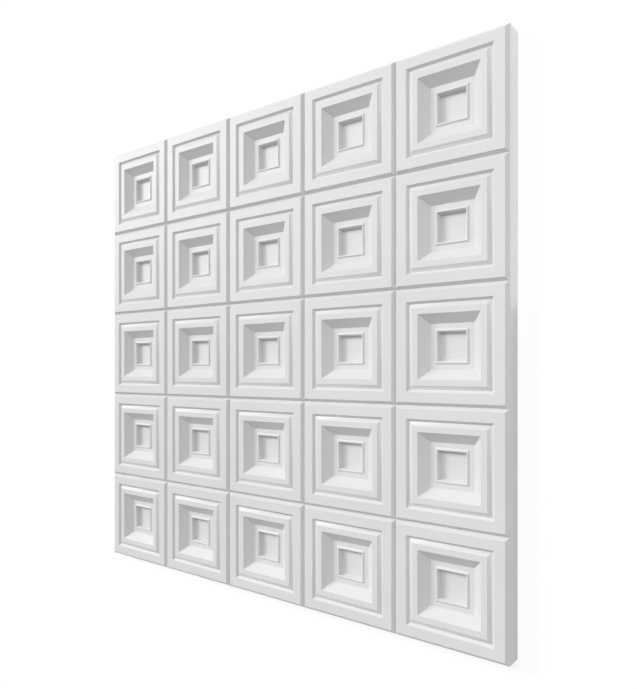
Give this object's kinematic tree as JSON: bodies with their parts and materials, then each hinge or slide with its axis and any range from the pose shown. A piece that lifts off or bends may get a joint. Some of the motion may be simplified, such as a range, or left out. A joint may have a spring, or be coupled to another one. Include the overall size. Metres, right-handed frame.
{
  "type": "coffered wall panel",
  "caption": "Square cast plaster wall panel with a grid of nested square coffers in relief, a flat back for adhesive and straight edges that butt against the next panel.",
  "frame": {"origin": "middle of the flat back, which lies on the floor", "axes": "+Z from the back towards the face in relief, +X to the right and +Y up the wall as the panel is hung"},
  "size_m": [0.5, 0.5, 0.02],
  "materials": {
    "plaster": "white cast gypsum plaster with a faint satin sheen"
  },
  "bodies": {
    "root": {"wall_panel": "plaster"}
  },
  "joints": []
}
